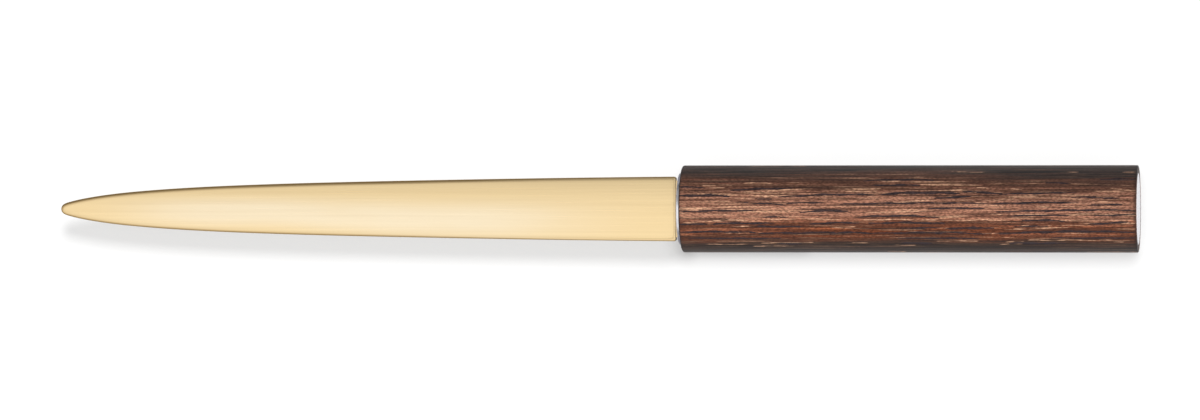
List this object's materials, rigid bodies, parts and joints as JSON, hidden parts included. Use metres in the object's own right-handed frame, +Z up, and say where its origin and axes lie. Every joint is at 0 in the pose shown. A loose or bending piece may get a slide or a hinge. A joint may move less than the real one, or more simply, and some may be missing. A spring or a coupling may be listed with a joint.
{
  "type": "letter opener",
  "caption": "Letter opener with a slim, blunt-edged brass blade whose tang is pinned in a metal ferrule inside a round, dark wooden handle with a metal end plug.",
  "frame": {"origin": "on the table, under the middle of the opener's overall length, with the handle lying on the table", "axes": "+X along the handle's axis from the blade's tip towards the handle's rear end, +Y across the blade, +Z up, square to the blade's flat"},
  "size_m": [0.2, 0.016, 0.016],
  "materials": {
    "satin_brass": "satin, brushed along the length",
    "tube_brass": "drawn",
    "turned_aluminium": "fine turned",
    "pin_steel": "hardened, dull",
    "dark_wood": "oiled, dark-streaked open grain"
  },
  "bodies": {
    "root": {"blade": "satin_brass", "front_ferrule": "turned_aluminium", "tang_pins": "pin_steel", "liner_tube": "tube_brass", "wood_sleeve": "dark_wood", "rear_plug": "turned_aluminium"}
  },
  "joints": []
}
